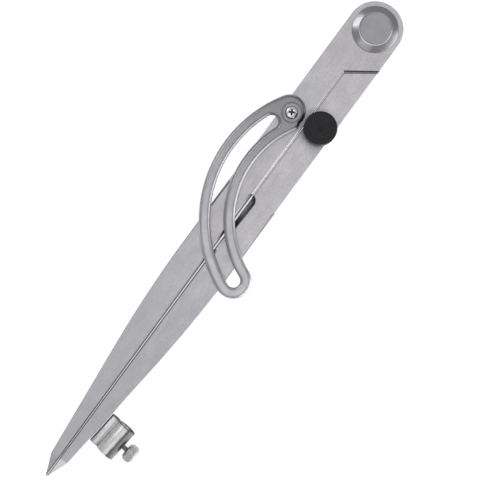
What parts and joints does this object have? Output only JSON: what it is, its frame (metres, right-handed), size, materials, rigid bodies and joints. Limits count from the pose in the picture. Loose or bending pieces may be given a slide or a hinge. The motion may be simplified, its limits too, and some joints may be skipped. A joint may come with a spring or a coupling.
{
  "type": "wing compass",
  "caption": "Steel wing compass, closed: two half-lapped legs on a wide pivot, slotted curved wing, black clamp knob, and a pencil clip with a knurled screw.",
  "frame": {"origin": "on the pivot's axis, on the plane of the legs' back faces that the closed compass rests on", "axes": "+Z out of the front face, +Y from the points to the pivot, +X towards the pencil leg's side"},
  "size_m": [0.0499, 0.2516, 0.0155],
  "materials": {
    "leg_steel": "brushed along the legs, satin",
    "pivot_steel": "fine turned, satin",
    "wing_steel": "tumbled, half bright, rounded edges",
    "hardware_steel": "plain turned",
    "bright_screw": "bright plated",
    "holder_nickel": "polished nickel plate",
    "knurled_steel": "straight knurl, plated",
    "black_knob": "moulded, satin top with fine turned rings"
  },
  "bodies": {
    "wing_leg": {"wing_leg": "leg_steel", "pivot_bolt": "pivot_steel", "pivot_nut": "hardware_steel", "pivot_friction_washer": "hardware_steel", "wing_screw": "bright_screw"},
    "pencil_leg": {"pencil_leg": "leg_steel", "pencil_holder": "holder_nickel"},
    "wing": {"wing": "wing_steel", "wing_washer": "hardware_steel"},
    "clamp_stud": {"clamp_stud": "hardware_steel", "knob_washer": "hardware_steel"},
    "clamp_knob": {"clamp_knob": "black_knob"},
    "pencil_screw_stem": {"pencil_screw_stem": "hardware_steel"},
    "pencil_screw_head": {"pencil_screw_head": "knurled_steel"}
  },
  "joints": [
    {"name": "legs_open", "type": "hinge", "parent": "wing_leg", "child": "pencil_leg", "pos_m": [0, 0, 0.003], "axis": [0, 0, 1], "range_deg": [0, 82]},
    {"name": "wing_swing", "type": "hinge", "parent": "wing_leg", "child": "wing", "pos_m": [-0.0076, -0.0504, 0.0075], "axis": [0, 0, 1], "range_deg": [-90, 20]},
    {"name": "knob_travel", "type": "slide", "parent": "pencil_leg", "child": "clamp_stud", "axis": [0, 0, 1], "range_m": [0, 0.0032]},
    {"name": "knob_turn", "type": "hinge", "parent": "clamp_stud", "child": "clamp_knob", "pos_m": [0.0064, -0.049, 0.01], "axis": [0, 0, 1], "range_deg": [-5, 1445]},
    {"name": "pencil_screw_travel", "type": "slide", "parent": "pencil_leg", "child": "pencil_screw_stem", "axis": [0.9949, -0.1011, 0], "range_m": [-0.00135, 0.00045]},
    {"name": "pencil_screw_turn", "type": "hinge", "parent": "pencil_screw_stem", "child": "pencil_screw_head", "pos_m": [0.01938, -0.20922, 0.00435], "axis": [0.9949, -0.1011, 0], "range_deg": [-1085, 365]}
  ],
  "couplings": [
    {"joint": "knob_turn", "follows": "knob_travel", "rad_per_m": 7854},
    {"joint": "pencil_screw_turn", "follows": "pencil_screw_travel", "rad_per_m": 13963}
  ]
}
